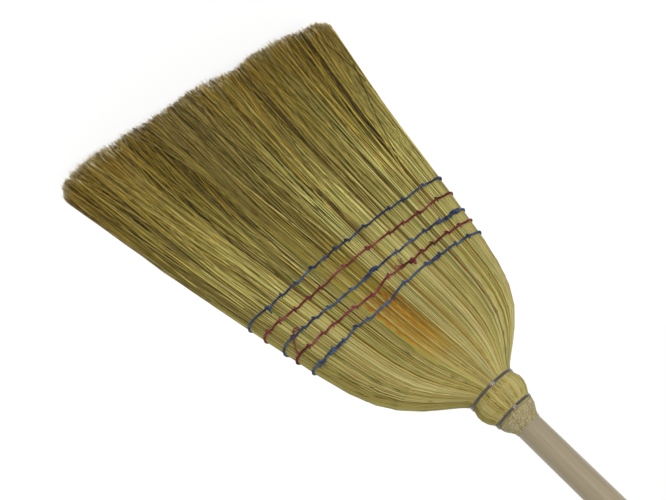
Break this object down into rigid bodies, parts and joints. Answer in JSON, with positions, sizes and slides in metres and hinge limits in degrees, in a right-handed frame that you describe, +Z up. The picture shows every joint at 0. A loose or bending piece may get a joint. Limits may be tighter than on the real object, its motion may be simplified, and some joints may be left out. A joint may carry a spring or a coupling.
{
  "type": "curling broom",
  "caption": "Flat straw broom, upright: round wooden handle, wire-bound neck, rounded shoulders and a wide fan of straw held flat by stitched rows of blue and red thread",
  "frame": {"origin": "middle of the sweeping edge, on the handle's axis, with the broom standing on its straw tips", "axes": "+Z up the handle, X along the width of the fan, Y through its thickness with the front facing -Y"},
  "size_m": [0.3574, 0.06, 1.4],
  "materials": {
    "handle_wood": "bare sanded",
    "inner_straw": "matt",
    "cover_straw": "matt",
    "binding_wire": "galvanised",
    "nail_steel": "bright",
    "blue_thread": "twisted",
    "red_thread": "twisted"
  },
  "bodies": {
    "root": {"handle": "handle_wood", "core_bundle": "inner_straw", "shoulder_left": "inner_straw", "shoulder_right": "inner_straw", "cover_front_1": "cover_straw", "cover_front_2": "cover_straw", "cover_front_3": "cover_straw", "cover_front_4": "cover_straw", "cover_front_5": "cover_straw", "cover_front_6": "cover_straw", "cover_front_7": "cover_straw", "cover_front_8": "cover_straw", "cover_back_1": "cover_straw", "cover_back_2": "cover_straw", "cover_back_3": "cover_straw", "cover_back_4": "cover_straw", "cover_back_5": "cover_straw", "cover_back_6": "cover_straw", "cover_back_7": "cover_straw", "cover_back_8": "cover_straw", "binding_nail": "nail_steel", "binding_wire": "binding_wire", "neck_wire_lower": "binding_wire", "neck_wire_upper": "binding_wire", "blue_thread_knots": "blue_thread", "red_thread_knots": "red_thread", "row_1_thread": "blue_thread", "row_1_stitches": "blue_thread", "row_2_thread": "red_thread", "row_2_stitches": "red_thread", "row_3_thread": "blue_thread", "row_3_stitches": "blue_thread", "row_4_thread": "red_thread", "row_4_stitches": "red_thread", "row_5_thread": "blue_thread", "row_5_stitches": "blue_thread"}
  },
  "joints": []
}
